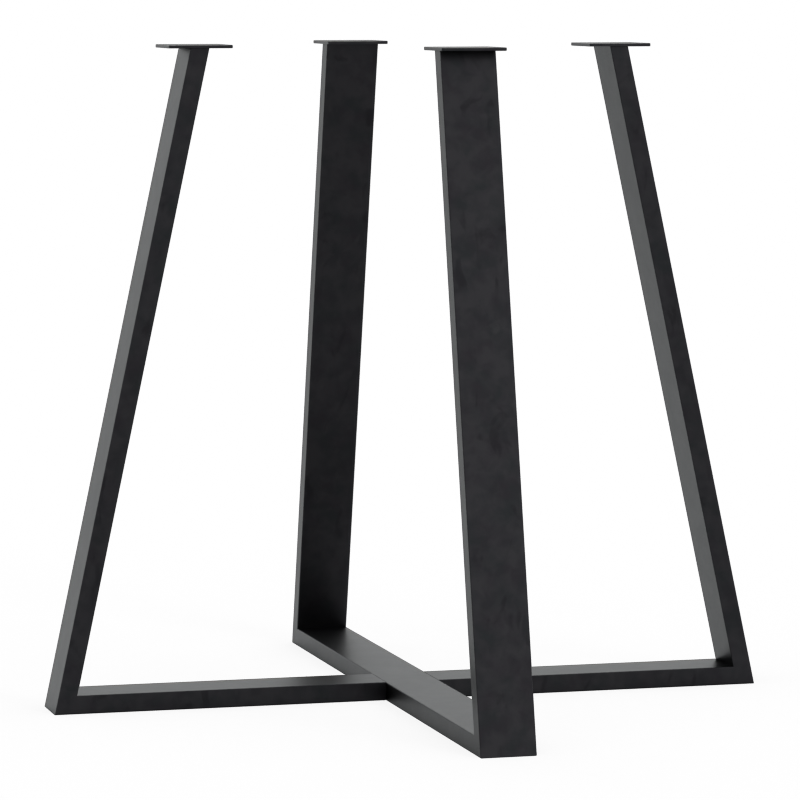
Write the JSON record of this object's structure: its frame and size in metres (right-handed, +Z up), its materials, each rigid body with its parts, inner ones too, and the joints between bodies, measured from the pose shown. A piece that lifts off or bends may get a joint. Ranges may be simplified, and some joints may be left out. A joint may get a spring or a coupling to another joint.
{
  "type": "table leg",
  "caption": "Crossed pair of splayed flat-tube steel frames that stands on the floor and carries a table top on square screw plates.",
  "frame": {"origin": "on the floor, where the two floor tubes cross", "axes": "+Z up, +Y to the back along the unbroken floor tube, +X to the right along the butted one"},
  "size_m": [0.8, 0.8, 0.72],
  "materials": {
    "black_powder_coat": "satin black powder coat on steel tube"
  },
  "bodies": {
    "root": {"upright_front": "black_powder_coat", "upright_back": "black_powder_coat", "upright_left": "black_powder_coat", "upright_right": "black_powder_coat", "base_bar_through": "black_powder_coat", "base_bar_left": "black_powder_coat", "base_bar_right": "black_powder_coat", "top_plate_front": "black_powder_coat", "top_plate_back": "black_powder_coat", "top_plate_left": "black_powder_coat", "top_plate_right": "black_powder_coat"}
  },
  "joints": []
}
